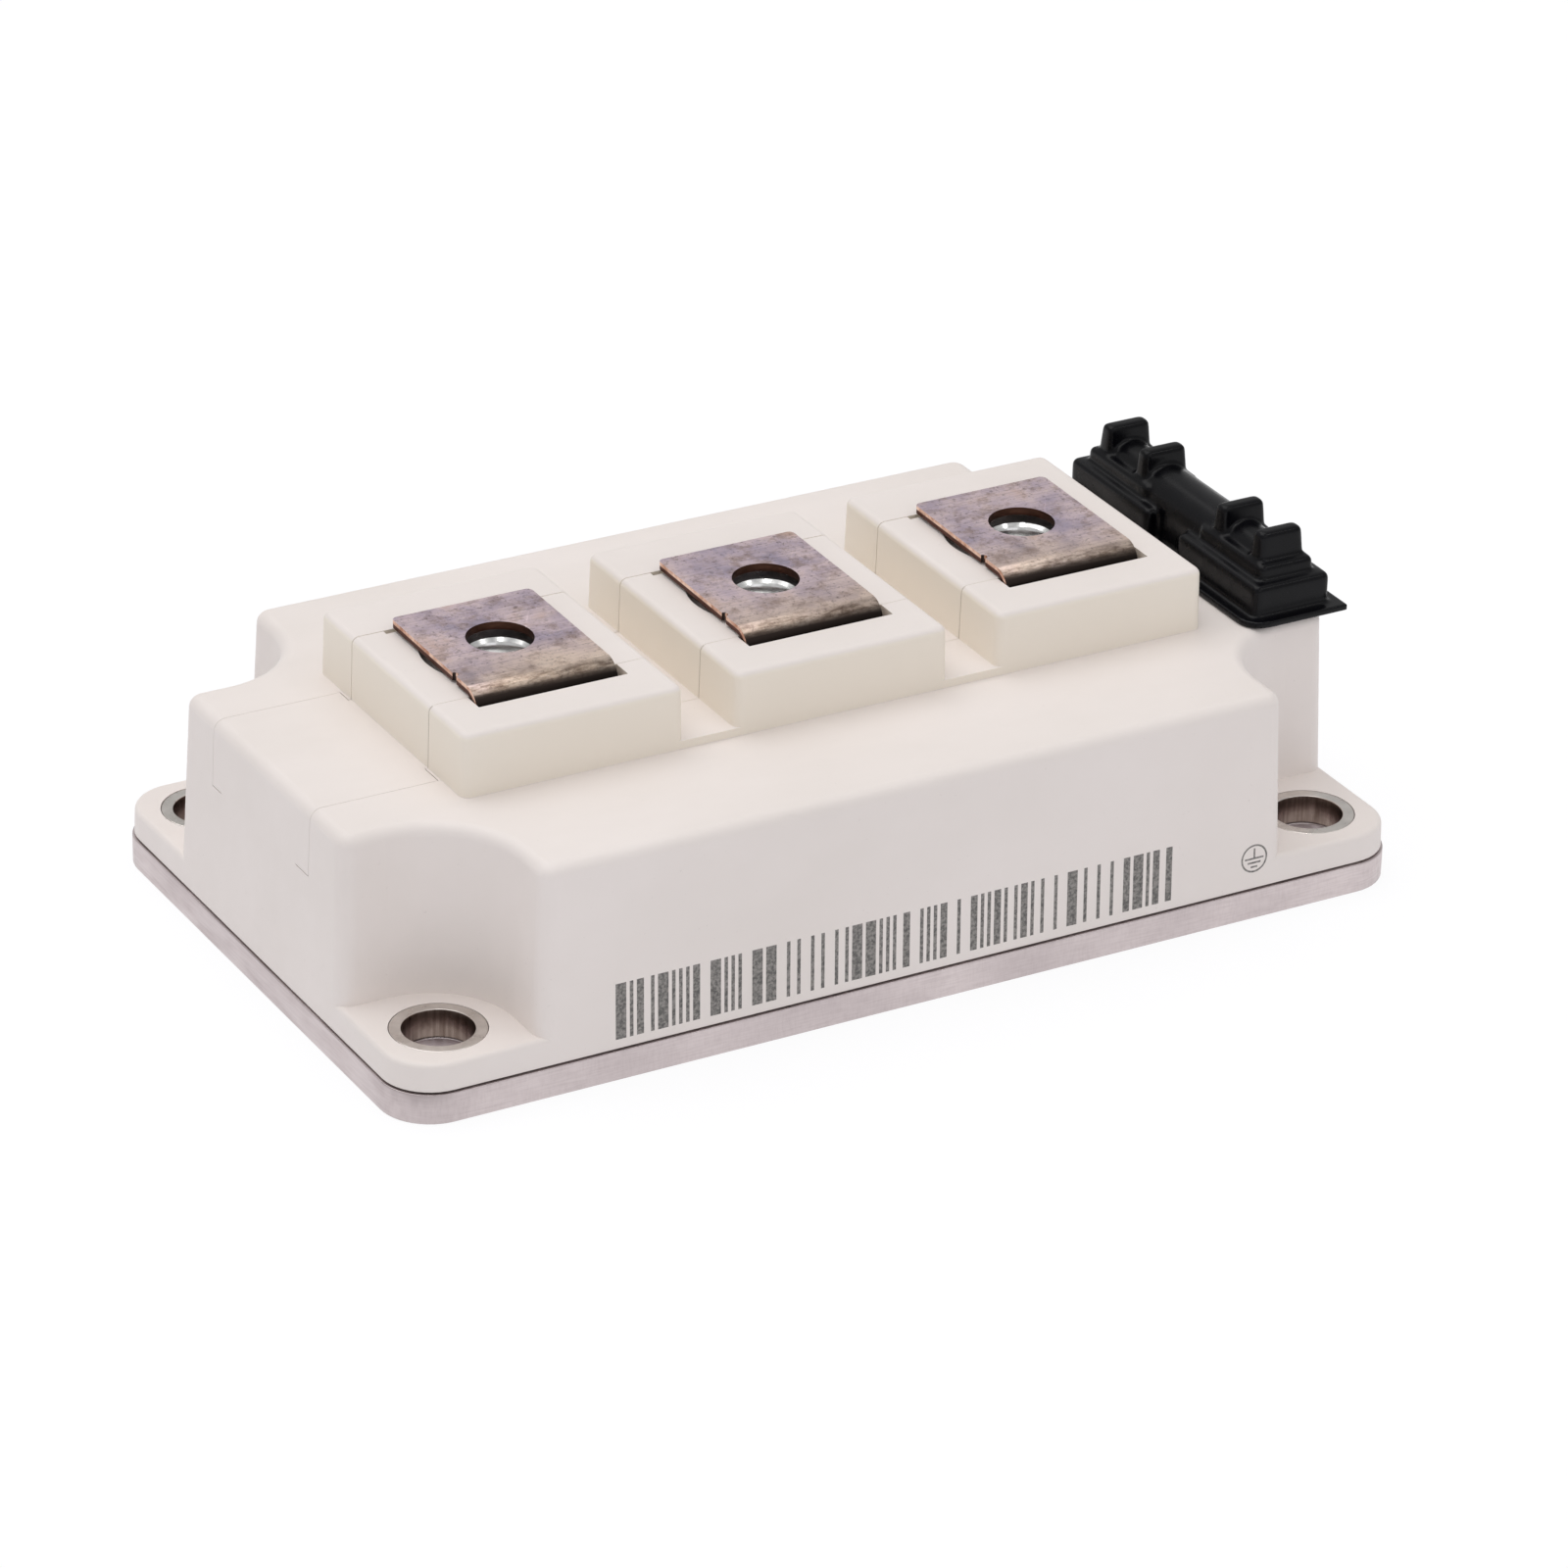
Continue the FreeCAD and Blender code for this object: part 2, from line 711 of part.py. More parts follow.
def make_cap():
    """One rubber moulding: two stepped covers on a common lip, joined by a hollow arch."""
    lip, _, step = cap_levels()
    front = cap_cover_span(-1)[0] - cap_lip_reach
    back = cap_cover_span(1)[1] + cap_lip_reach
    half = cap_base_width / 2 + cap_lip_reach
    sheet = rounded_block(tab_row_x - half, tab_row_x + half, front, back, deck_top, lip, cap_lip_corner)
    arch = half_round(cap_bridge_radius, tab_ys[1], tab_ys[2], step + cap_ridge_rise)
    covers = [make_cap_cover(side) for side in (-1, 1)]
    cap = fuse(sheet, arch, *covers)
    hollows = [half_round(cap_bridge_radius - cap_wall, cap_cover_span(-1)[1], cap_cover_span(1)[0],
                          step + cap_ridge_rise - cap_wall)]
    for side in (-1, 1):
        x0 = tab_row_x - pedestal_width / 2 - cap_fit
        y0, y1 = pedestal_span(side)
        hollows.append(box(x0, x0 + pedestal_width + 2 * cap_fit, y0 - cap_fit, y1 + cap_fit,
                           deck_top, deck_top + pedestal_height + cap_fit))
    for y in tab_ys:
        x0 = tab_row_x - tab_width / 2 - cap_fit
        half_y = tab_thickness / 2 + cap_fit
        hollows.append(box(x0, x0 + tab_width + 2 * cap_fit, y - half_y, y + half_y,
                           deck_top, deck_top + tab_rise + cap_fit))
    return cap.cut(hollows)


def main():
    os.makedirs("parts", exist_ok=True)
    save("baseplate", make_baseplate())
    save("sealing_bead", make_bead())
    corner_names = {(-1, -1): "front_left", (1, -1): "front_right", (-1, 1): "rear_left", (1, 1): "rear_right"}
    for (sx, sy), name in corner_names.items():
        save("bushing_" + name, make_bushing(sx * hole_x, sy * hole_y))
    outer_form = make_outer_form()
    save("housing", make_housing(outer_form))
    save("nut_carrier", make_carrier(outer_form))
    inner_pieces = []
    for k, x in enumerate(terminal_xs, start=1):
        save(f"nut_{k}", make_nut(x))
        terminal = make_terminal(x)
        save(f"power_terminal_{k}", terminal)
        inner_pieces.append(terminal)
    for side, x in zip(("left", "right"), tile_xs):
        diodes, igbts = chip_rows()
        stack = {
            "ceramic_tile_": make_tile(x),
            "copper_foils_": make_foils(x),
            "igbt_chips_": make_chips(x, igbt_side_room, igbts),
            "diode_chips_": make_chips(x, diode_side_room, diodes),
            "bond_wires_": make_bond_wires(x),
        }
        for name, shape in stack.items():
            save(name + side, shape)
            inner_pieces.append(shape)
    for k, y in enumerate(tab_ys, start=1):
        save(f"aux_tab_{k}", make_tab(y))
        lead = make_lead(y)
        save(f"aux_lead_{k}", lead)
        inner_pieces.append(lead)
    save("silicone_gel", make_gel(inner_pieces))
    save("tab_cap", make_cap())


main()
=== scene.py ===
import math
import random

import bmesh
import bpy
from mathutils import Matrix, Vector


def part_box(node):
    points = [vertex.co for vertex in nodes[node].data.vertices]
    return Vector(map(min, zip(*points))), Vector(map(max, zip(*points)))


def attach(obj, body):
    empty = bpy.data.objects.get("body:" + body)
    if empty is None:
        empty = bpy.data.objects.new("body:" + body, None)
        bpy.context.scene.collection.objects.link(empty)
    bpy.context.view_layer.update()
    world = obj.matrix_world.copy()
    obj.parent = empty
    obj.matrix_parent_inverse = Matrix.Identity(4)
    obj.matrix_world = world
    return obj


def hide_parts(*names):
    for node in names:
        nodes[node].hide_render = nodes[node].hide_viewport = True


# Looks of the half-bridge module: materials for every CAD node, the print on the
# front wall, the threads in the nuts, the rubber cap's soft form, light and camera.

MM = 0.001

# Camera, fitted to the photograph: place it looks at, direction it looks from, lens
CAMERA_TARGET = Vector((-1.488, -16.314, 15.0)) * MM
CAMERA_AZIMUTH = -30.583
CAMERA_ELEVATION = 27.250
CAMERA_ROLL = 1.743
CAMERA_DISTANCE = 653.9 * MM
CAMERA_FOCAL_PIXELS = 7197.0
CAMERA_CENTRE_PIXELS = (851.4, 814.3)
IMAGE_PIXELS = 1600
SENSOR_WIDTH = 36.0

# Nodes of solid metal that show, and the rounding of their edges where faces meet more
# sharply than the angle. Points of a CAD mesh nearer than the last value are one point.
NUTS = ("nut_1", "nut_2", "nut_3")
METAL_NODES = ("baseplate", "bushing", "power_terminal", *NUTS)
METAL_EDGE = 0.12 * MM
METAL_EDGE_ANGLE = math.radians(50)
SAME_POINT = 0.001 * MM

# Print on the front wall: a row of bars and the sign for protective earth
PRINT_THICKNESS = 0.012 * MM
PRINT_LIFT = 0.004 * MM
BARS_LEFT = -31.9 * MM
BARS_RIGHT = 27.1 * MM
BARS_BOTTOM = 4.1 * MM
BARS_HEIGHT = 5.6 * MM
BAR_MODULE = 0.36 * MM
BAR_SEED = 62
EARTH_X = 36.3 * MM
EARTH_Z = 6.3 * MM
EARTH_RADIUS = 1.45 * MM
EARTH_LINE = 0.18 * MM
EARTH_RING_STEPS = 40
EARTH_STEM = 0.72
EARTH_LINES = ((0.0, 0.72), (0.3, 0.5), (0.6, 0.26))

# The drafted front wall that carries the print
WALL_BOTTOM = 3.2 * MM
WALL_Y_AT_BOTTOM = -30.5 * MM
WALL_SLOPE = 0.7 / 19.5

# Power terminals, as the tarnish and the painted shade on them see them: their row, the
# hole and the room round it that holds its wall, the centre line of the bend, the top
# face, the rise towards the rear and the part of the cut edge that stayed bright. The tan
# front passes into the violet rear between two places, along a line that drifts.
FIRST_TERMINAL = -27.8 * MM
TERMINAL_PITCH = 28.0 * MM
HOLE_Y = 0.4 * MM
HOLE_REACH = 4.0 * MM
BEND_Y = -7.1 * MM
BEND_Z = 27.9 * MM
STRIP_TOP = 30.0 * MM
STRIP_RISE = 0.0087
BRIGHT_EDGE = 0.34 * MM
TAN_FRONT = -4.0 * MM
TAN_END = 3.0 * MM
TAN_DRIFT = 9.0 * MM

# Threads in the nuts: half the ridge's width at its foot and at its crest, in pitches
THREAD_PITCH = 1.0 * MM
THREAD_DEPTH = 0.3 * MM
THREAD_FOOT = 0.42
THREAD_CREST = 0.08
THREAD_STEPS = 48
NUT_BORE_RADIUS = 2.75 * MM

# Soft form of the rubber cap: grain of the new surface, and the lip's outer corners
CAP_VOXEL = 0.2 * MM
CAP_SMOOTHING = 8
LIP_CORNER = 3.2 * MM
LIP_THICKNESS = 0.7 * MM

# Height above which the upright faces of the terminal blocks take a painted warm tone,
# standing in for the light bounced between them
BLOCK_FACES_ABOVE = 22.75 * MM

# Dirt in the carrier's close front seam, where it runs down the sides of the blocks
SEAM_Y = -7.43 * MM
SEAM_DIRT = 0.09 * MM

# Strength of the surroundings on the camera's side and behind the object
WORLD_FRONT = 0.16
WORLD_REAR = 0.62

# Floor: half its side, how far it lies below the object, its colour as a surface, and
# how much of a plain white glow the lens and reflections see in its place
FLOOR_REACH = 3.0
FLOOR_DROP = 0.02 * MM
FLOOR_COLOUR = (0.78, 0.77, 0.83)
FLOOR_GLOW = 1.06
FLOOR_GLOW_SHARE = 0.85

# Square lamps, aimed at the middle of the object: name, place, side, watts, colour
LAMP_AIM = Vector((0.0, 0.0, 12.0)) * MM
LAMPS = (
    ("overhead", (-0.15, 0.25, 0.9), 0.9, 3.8, (1.0, 0.985, 0.98)),
    ("top_front", (-0.2, -0.3, 0.9), 0.12, 0.4, (1.0, 0.99, 0.98)),
    ("left_key", (-0.8, -0.25, 0.5), 0.6, 0.1, (0.95, 0.94, 1.0)),
    ("front_fill", (0.1, -0.9, 0.55), 0.7, 0.8, (0.97, 0.96, 1.0)),
    ("front_high", (0.45, -0.46, 0.77), 0.12, 0.35, (1.0, 0.99, 0.98)),
)

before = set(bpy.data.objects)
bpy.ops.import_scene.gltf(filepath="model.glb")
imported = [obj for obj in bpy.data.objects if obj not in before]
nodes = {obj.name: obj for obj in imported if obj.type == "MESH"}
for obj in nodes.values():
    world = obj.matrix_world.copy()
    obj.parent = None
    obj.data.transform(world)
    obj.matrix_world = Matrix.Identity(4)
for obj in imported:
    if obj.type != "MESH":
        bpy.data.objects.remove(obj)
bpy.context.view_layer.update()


# Node helpers

class Shader:
    """A Principled material and short ways to add nodes to it."""

    def __init__(self, name, roughness=0.5, metallic=0.0):
        self.material = bpy.data.materials.new(name)
        self.material.use_nodes = True
        self.tree = self.material.node_tree
        self.out = self.tree.nodes["Principled BSDF"]
        self.out.inputs["Roughness"].default_value = roughness
        self.out.inputs["Metallic"].default_value = metallic
        coordinates = self.tree.nodes.new("ShaderNodeTexCoord")
        self.place = coordinates.outputs["Object"]
        self.normal = coordinates.outputs["Normal"]

    def plug(self, socket, value):
        """Links an output to a socket, or writes a plain value on it."""
        if isinstance(value, bpy.types.NodeSocket):
            self.tree.links.new(value, socket)
        else:
            socket.default_value = value

    def stretch(self, scale, vector=None):
        """Object coordinates multiplied along each axis."""
        node = self.tree.nodes.new("ShaderNodeMapping")
        self.plug(node.inputs["Vector"], vector or self.place)
        node.inputs["Scale"].default_value = scale
        return node.outputs["Vector"]

    def noise(self, scale, detail=3.0, roughness=0.5, vector=None):
        node = self.tree.nodes.new("ShaderNodeTexNoise")
        self.plug(node.inputs["Vector"], vector or self.place)
        node.inputs["Scale"].default_value = scale
        node.inputs["Detail"].default_value = detail
        node.inputs["Roughness"].default_value = roughness
        return node.outputs["Fac"]

    def ramp(self, factor, *stops):
        """Colours at positions, as (position, colour)."""
        node = self.tree.nodes.new("ShaderNodeValToRGB")
        self.plug(node.inputs["Fac"], factor)
        elements = node.color_ramp.elements
        while len(elements) < len(stops):
            elements.new(0.5)
        for element, (position, colour) in zip(elements, stops):
            element.position = position
            element.color = (*colour, 1.0)
        return node.outputs["Color"]

    def math(self, operation, a, b=0.0):
        node = self.tree.nodes.new("ShaderNodeMath")
        node.operation = operation
        self.plug(node.inputs[0], a)
        self.plug(node.inputs[1], b)
        return node.outputs["Value"]

    def length(self, a, b):
        """Length of the sloping side over two sides at a right angle."""
        squares = [self.math("MULTIPLY", side, side) for side in (a, b)]
        return self.math("SQRT", self.math("ADD", *squares))

    def span(self, value, low, high, start=0.0, end=1.0):
        """Value moved from one range to another, and held within it."""
        node = self.tree.nodes.new("ShaderNodeMapRange")
        for name, number in (("Value", value), ("From Min", low), ("From Max", high),
                             ("To Min", start), ("To Max", end)):
            self.plug(node.inputs[name], number)
        return node.outputs["Result"]

    def blend(self, factor, a, b, kind="MIX"):
        """Two colours mixed by a factor."""
        node = self.tree.nodes.new("ShaderNodeMix")
        node.data_type = "RGBA"
        node.blend_type = kind
        self.plug(node.inputs["Factor"], factor)
        for name, value in (("A", a), ("B", b)):
            socket = [s for s in node.inputs if s.name == name and s.type == "RGBA"][0]
            self.plug(socket, value if isinstance(value, bpy.types.NodeSocket) else (*value, 1.0))
        return [s for s in node.outputs if s.type == "RGBA"][0]

    def axis(self, vector, letter):
        """One component of a vector."""
        node = self.tree.nodes.new("ShaderNodeSeparateXYZ")
        self.plug(node.inputs["Vector"], vector)
        return node.outputs[letter]

    def bump(self, height, distance, strength=1.0):
        node = self.tree.nodes.new("ShaderNodeBump")
        node.inputs["Distance"].default_value = distance
        node.inputs["Strength"].default_value = strength
        self.plug(node.inputs["Height"], height)
        self.plug(self.out.inputs["Normal"], node.outputs["Normal"])

    def colour(self, value):
        self.plug(self.out.inputs["Base Color"], value)

    def roughness(self, value):
        self.plug(self.out.inputs["Roughness"], value)


def srgb(red, green, blue):
    """Linear colour from 8-bit screen values."""
    levels = [value / 255 for value in (red, green, blue)]
    return tuple(v / 12.92 if v <= 0.04045 else ((v + 0.055) / 1.055) ** 2.4 for v in levels)


# Materials

def moulded_plastic():
    """Off-white plastic: fine texture, faint flow shades, painted warm bounce light on the blocks'
    upright faces, dirt in the seam.
    """
    s = Shader("moulded_plastic")
    flow = s.noise(38.0, 4.0, 0.6, s.stretch((1.0, 1.6, 1.2)))
    tone = s.ramp(flow, (0.30, srgb(236, 228, 223)), (0.72, srgb(242, 234, 230)))
    dust = s.noise(2600.0, 2.0, 0.6)
    specks = s.span(dust, 0.70, 0.80, 0.0, 0.25)
    tone = s.blend(specks, tone, srgb(190, 180, 174))
    # Painted light: upright faces above the deck take a warm tone for the light bounced between the
    # blocks
    upright = s.span(s.math("ABSOLUTE", s.axis(s.normal, "Z")), 0.3, 0.7, 0.9, 0.0)
    above = s.math("GREATER_THAN", s.axis(s.place, "Z"), BLOCK_FACES_ABOVE)
    tone = s.blend(s.math("MULTIPLY", upright, above), tone, srgb(245, 237, 224))
    off_seam = s.math("ABSOLUTE", s.math("SUBTRACT", s.axis(s.place, "Y"), SEAM_Y))
    beside = s.math("GREATER_THAN", s.math("ABSOLUTE", s.axis(s.normal, "X")), 0.5)
    dirt = s.math("MULTIPLY", beside, s.span(off_seam, 0.4 * SEAM_DIRT, SEAM_DIRT, 0.6, 0.0))
    s.colour(s.blend(s.math("MULTIPLY", dirt, above), tone, srgb(120, 108, 98)))
    s.roughness(s.span(s.noise(700.0, 3.0), 0.3, 0.7, 0.46, 0.60))
    s.bump(s.noise(5200.0, 3.0, 0.6), 0.02 * MM, 0.35)
    return s.material


def nickel_plate():
    """Satin nickel on copper: faint milling marks on the rim, soft clouds on the faces."""
    s = Shader("nickel_plate", 0.38, 1.0)
    clouds = s.noise(60.0, 5.0, 0.6)
    tone = s.ramp(clouds, (0.30, srgb(194, 183, 184)), (0.70, srgb(216, 205, 205)))
    marks = s.noise(1.0, 4.0, 0.65, s.stretch((260.0, 260.0, 5200.0)))
    s.colour(s.blend(s.span(marks, 0.42, 0.62, 0.0, 0.20), tone, srgb(160, 148, 148)))
    scratches = s.noise(1.0, 2.0, 0.5, s.stretch((5200.0, 190.0, 900.0)))
    s.roughness(s.span(scratches, 0.35, 0.65, 0.30, 0.50))
    s.bump(marks, 0.012 * MM, 0.3)
    return s.material


def turned_steel():
    """Bushings: bright zinc on the end faces; along the bore streaks and stains over a painted darker
    brown, standing in for the dim reflection inside it.
    """
    s = Shader("turned_steel", 0.3, 1.0)
    streaks = s.noise(1.0, 4.0, 0.6, s.stretch((2600.0, 2600.0, 160.0)))
    bore = s.ramp(streaks, (0.30, srgb(108, 92, 84)), (0.70, srgb(146, 130, 122)))
    stains = s.noise(420.0, 3.0, 0.6)
    bore = s.blend(s.span(stains, 0.50, 0.66, 0.0, 0.45), bore, srgb(88, 70, 62))
    face = s.ramp(stains, (0.30, srgb(204, 198, 192)), (0.70, srgb(226, 221, 216)))
    # Painted shade: upright faces, those of the bore, take the darker brown; the level end faces take the
    # bright zinc
    level = s.span(s.math("ABSOLUTE", s.axis(s.normal, "Z")), 0.4, 0.8)
    s.colour(s.blend(level, bore, face))
    s.roughness(s.span(stains, 0.3, 0.7, 0.22, 0.38))
    s.bump(streaks, 0.01 * MM, 0.2)
    return s.material


def zinc_nut():
    """Bright zinc with small dull patches."""
    s = Shader("zinc_nut", 0.2, 0.9)
    patches = s.noise(900.0, 3.0, 0.6)
    s.colour(s.ramp(patches, (0.35, srgb(222, 222, 222)), (0.65, srgb(244, 244, 242))))
    s.roughness(s.span(patches, 0.3, 0.7, 0.16, 0.28))
    s.bump(s.noise(1200.0, 2.0), 0.002 * MM, 0.2)
    return s.material


def tarnished_terminal():
    """Tin over copper, tarnished in the air: violet and tan clouds, rolled streaks, copper rims, and
    painted shade on the bend and down towards the slot.
    """
    s = Shader("tarnished_terminal", 0.36, 1.0)
    y = s.axis(s.place, "Y")
    rise = s.math("MULTIPLY", s.math("SUBTRACT", y, BEND_Y), STRIP_RISE)
    z = s.math("SUBTRACT", s.axis(s.place, "Z"), rise)
    clouds = s.noise(210.0, 5.0, 0.62)
    violet = s.ramp(clouds, (0.26, srgb(176, 166, 190)), (0.42, srgb(212, 194, 208)),
                    (0.56, srgb(232, 212, 216)), (0.74, srgb(214, 186, 172)))
    tan = s.ramp(clouds, (0.28, srgb(188, 166, 150)), (0.50, srgb(228, 206, 186)),
                 (0.74, srgb(246, 230, 214)))
    drift = s.math("ADD", y, s.math("MULTIPLY", s.noise(120.0, 3.0), TAN_DRIFT))
    tarnish = s.blend(s.span(drift, TAN_FRONT, TAN_END, 1.0, 0.0), violet, tan)
    rolled = s.noise(1.0, 4.0, 0.6, s.stretch((140.0, 3600.0, 3600.0)))
    tarnish = s.blend(s.span(rolled, 0.44, 0.70, 0.0, 0.30), tarnish, srgb(132, 114, 116))
    blots = s.noise(520.0, 5.0, 0.75)
    tarnish = s.blend(s.span(blots, 0.50, 0.66, 0.0, 0.60), tarnish, srgb(150, 124, 108))
    spots = s.noise(2200.0, 3.0, 0.7)
    tarnish = s.blend(s.span(spots, 0.56, 0.70, 0.0, 0.6), tarnish, srgb(96, 80, 76))
    glints = s.noise(1900.0, 3.0, 0.7, s.stretch((1.0, 1.7, 1.0)))
    tarnish = s.blend(s.span(glints, 0.60, 0.74, 0.0, 0.6), tarnish, srgb(240, 226, 214))
    forward = s.math("SUBTRACT", 0.0, s.axis(s.normal, "Y"))
    # Partly real brown streaks, partly painted shade: the mottle darkens the bend where it starts to turn
    # forward, dimming its highlight
    grime = s.noise(1.0, 5.0, 0.75, s.stretch((420.0, 1500.0, 1500.0)))
    grime_and_shade = s.math("MULTIPLY", s.span(forward, 0.03, 0.30), s.span(grime, 0.42, 0.60, 0.0, 0.75))
    tarnish = s.blend(grime_and_shade, tarnish, srgb(108, 88, 74))
    shade = s.math("MAXIMUM", s.span(forward, 0.05, 0.35, 0.0, 0.25), s.span(forward, 0.40, 0.80))
    tarnish = s.blend(shade, tarnish, srgb(58, 49, 46))
    # Painted shade: the faces darken as they go down from the top face towards the slot
    sunk = s.span(z, STRIP_TOP - 1.15 * MM, STRIP_TOP - 0.35 * MM, 1.0, 0.0)
    tarnish = s.blend(sunk, tarnish, srgb(40, 34, 31))
    past_bend = s.math("MINIMUM", s.math("SUBTRACT", y, BEND_Y), 0.0)
    edge_start = STRIP_TOP - BEND_Z - BRIGHT_EDGE
    from_bend = s.length(past_bend, s.math("SUBTRACT", z, BEND_Z))
    bright = s.span(from_bend, edge_start - 0.06 * MM, edge_start + 0.02 * MM)
    copper = s.ramp(s.noise(1100.0, 3.0), (0.34, srgb(196, 146, 120)), (0.62, srgb(248, 218, 200)))
    cut = s.blend(bright, srgb(84, 50, 40), copper)
    along = s.math("SUBTRACT", s.axis(s.place, "X"), FIRST_TERMINAL)
    aside = s.math("PINGPONG", along, TERMINAL_PITCH / 2)
    in_hole = s.math("LESS_THAN", s.length(aside, s.math("SUBTRACT", y, HOLE_Y)), HOLE_REACH)
    cut = s.blend(in_hole, cut, srgb(96, 66, 54))
    rim = s.math("GREATER_THAN", s.math("ABSOLUTE", s.axis(s.normal, "X")), 0.75)
    upright = s.math("LESS_THAN", s.math("ABSOLUTE", s.axis(s.normal, "Z")), 0.4)
    rim = s.math("MAXIMUM", rim, s.math("MULTIPLY", upright, in_hole))
    s.colour(s.blend(rim, tarnish, cut))
    s.roughness(s.span(clouds, 0.3, 0.7, 0.32, 0.50))
    s.bump(rolled, 0.014 * MM, 0.5)
    return s.material


def black_rubber():
    """Matt black moulded rubber with a soft shine and a little dust."""
    s = Shader("black_rubber", 0.42)
    dust = s.noise(1900.0, 4.0, 0.7)
    tone = s.ramp(s.noise(120.0, 3.0), (0.3, srgb(4, 4, 7)), (0.7, srgb(8, 8, 13)))
    s.colour(s.blend(s.span(dust, 0.68, 0.82, 0.0, 0.15), tone, srgb(52, 52, 56)))
    s.out.inputs["Specular IOR Level"].default_value = 0.18
    s.roughness(s.span(s.noise(500.0, 3.0), 0.3, 0.7, 0.20, 0.32))
    s.bump(s.noise(4200.0, 3.0, 0.6), 0.02 * MM, 0.3)
    return s.material


def print_ink():
    """Grey print burnt into the plastic, made of fine dots."""
    s = Shader("print_ink", 0.6)
    dots = s.noise(3600.0, 2.0, 0.6)
    s.colour(s.ramp(dots, (0.36, srgb(92, 90, 88)), (0.62, srgb(148, 144, 140))))
    s.bump(dots, 0.01 * MM, 0.4)
    return s.material


def grained(name, dark, light, scale, roughness, metallic=0.0):
    """Two shades of one colour in a noise, for the pieces inside."""
    s = Shader(name, roughness, metallic)
    grain = s.noise(scale, 4.0, 0.6)
    s.colour(s.ramp(grain, (0.32, dark), (0.68, light)))
    s.roughness(s.span(grain, 0.3, 0.7, roughness * 0.8, min(1.0, roughness * 1.2)))
    s.bump(grain, 0.01 * MM, 0.3)
    return s.material


def clear_gel():
    """Soft clear silicone."""
    s = Shader("clear_gel", 0.08)
    swirl = s.noise(90.0, 3.0)
    s.colour(s.ramp(swirl, (0.3, srgb(226, 230, 228)), (0.7, srgb(240, 242, 240))))
    s.out.inputs["Transmission Weight"].default_value = 0.9
    s.out.inputs["IOR"].default_value = 1.41
    s.bump(swirl, 0.1 * MM, 0.2)
    return s.material


PLASTIC = moulded_plastic()
SILICON = grained("metallised_silicon", srgb(150, 150, 156), srgb(178, 178, 184), 700.0, 0.3, 1.0)
INK = print_ink()

# Material of the nodes whose names start with each key
MATERIALS = {
    "baseplate": nickel_plate(),
    "sealing_bead": grained("silicone_adhesive", srgb(88, 84, 82), srgb(112, 107, 104), 800.0, 0.6),
    "bushing": turned_steel(),
    "housing": PLASTIC,
    "nut_carrier": PLASTIC,
    "nut_": zinc_nut(),
    "power_terminal": tarnished_terminal(),
    "ceramic_tile": grained("alumina", srgb(232, 230, 224), srgb(246, 245, 240), 1500.0, 0.45),
    "copper_foils": grained("bonded_copper", srgb(176, 112, 84), srgb(204, 140, 108), 900.0, 0.35, 1.0),
    "igbt_chips": SILICON,
    "diode_chips": SILICON,
    "bond_wires": grained("drawn_aluminium", srgb(196, 197, 200), srgb(220, 221, 224), 1200.0, 0.25, 1.0),
    "aux_tab": grained("tinned_brass", srgb(176, 172, 164), srgb(206, 202, 196), 800.0, 0.32, 1.0),
    "aux_lead": grained("tinned_copper", srgb(170, 164, 156), srgb(200, 194, 186), 900.0, 0.35, 1.0),
    "silicone_gel": clear_gel(),
    "tab_cap": black_rubber(),
}


def material_of(node):
    """The material whose key the node's name starts with, the longest key first."""
    keys = [key for key in MATERIALS if node.startswith(key)]
    return MATERIALS[max(keys, key=len)]


def dress(obj, material):
    obj.data.materials.clear()
    obj.data.materials.append(material)


def weld_points(obj):
    """Joins the faces of a CAD mesh, so that the modifiers after it see one surface."""
    weld = obj.modifiers.new("weld", "WELD")
    weld.merge_threshold = SAME_POINT


def round_edges(obj):
    """Small rounding of the sharp edges of a CAD node, by modifiers only."""
    weld_points(obj)
    bevel = obj.modifiers.new("edge", "BEVEL")
    bevel.width = METAL_EDGE
    bevel.segments = 2
    bevel.limit_method = "ANGLE"
    bevel.angle_limit = METAL_EDGE_ANGLE
    bevel.harden_normals = True


# Pieces of the scene

def new_piece(name, mesh, material):
    """A mesh object that rides on the root body and wears the material given to it."""
    obj = bpy.data.objects.new(name, mesh)
    bpy.context.scene.collection.objects.link(obj)
    dress(obj, material)
    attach(obj, "root")
    return obj


def front_wall_point(x, z):
    """Point on the drafted front wall of the housing at that X and height."""
    return Vector((x, WALL_Y_AT_BOTTOM + (z - WALL_BOTTOM) * WALL_SLOPE, z))


def add_patch(bm, corners):
    """Thin raised patch on the front wall over corners (x, z), sunk into the wall at its back."""
    outward = Vector((0.0, -1.0, WALL_SLOPE)).normalized()
    points = [front_wall_point(x, z) + outward * PRINT_LIFT for x, z in corners]
    back = [bm.verts.new(point - outward * PRINT_THICKNESS) for point in points]
    front = [bm.verts.new(point) for point in points]
    bm.faces.new(front)
    bm.faces.new(back[::-1])
    for k in range(len(corners)):
        following = (k + 1) % len(corners)
        bm.faces.new((front[k], back[k], back[following], front[following]))


def add_bar(bm, x0, x1, z0, z1):
    add_patch(bm, [(x0, z0), (x1, z0), (x1, z1), (x0, z1)])


def finished_mesh(name, bm):
    bmesh.ops.recalc_face_normals(bm, faces=bm.faces)
    mesh = bpy.data.meshes.new(name)
    bm.to_mesh(mesh)
    bm.free()
    return mesh


def printed_bars():
    """A made-up row of bars and gaps, one to three modules wide, that says nothing."""
    dice = random.Random(BAR_SEED)
    bm = bmesh.new()
    x = BARS_LEFT
    while x < BARS_RIGHT:
        width = dice.choice((1, 1, 1, 2, 3)) * BAR_MODULE
        add_bar(bm, x, min(x + width, BARS_RIGHT), BARS_BOTTOM, BARS_BOTTOM + BARS_HEIGHT)
        x += width + dice.choice((1, 1, 2, 3)) * BAR_MODULE
    return new_piece("printed_bars", finished_mesh("printed_bars", bm), INK)


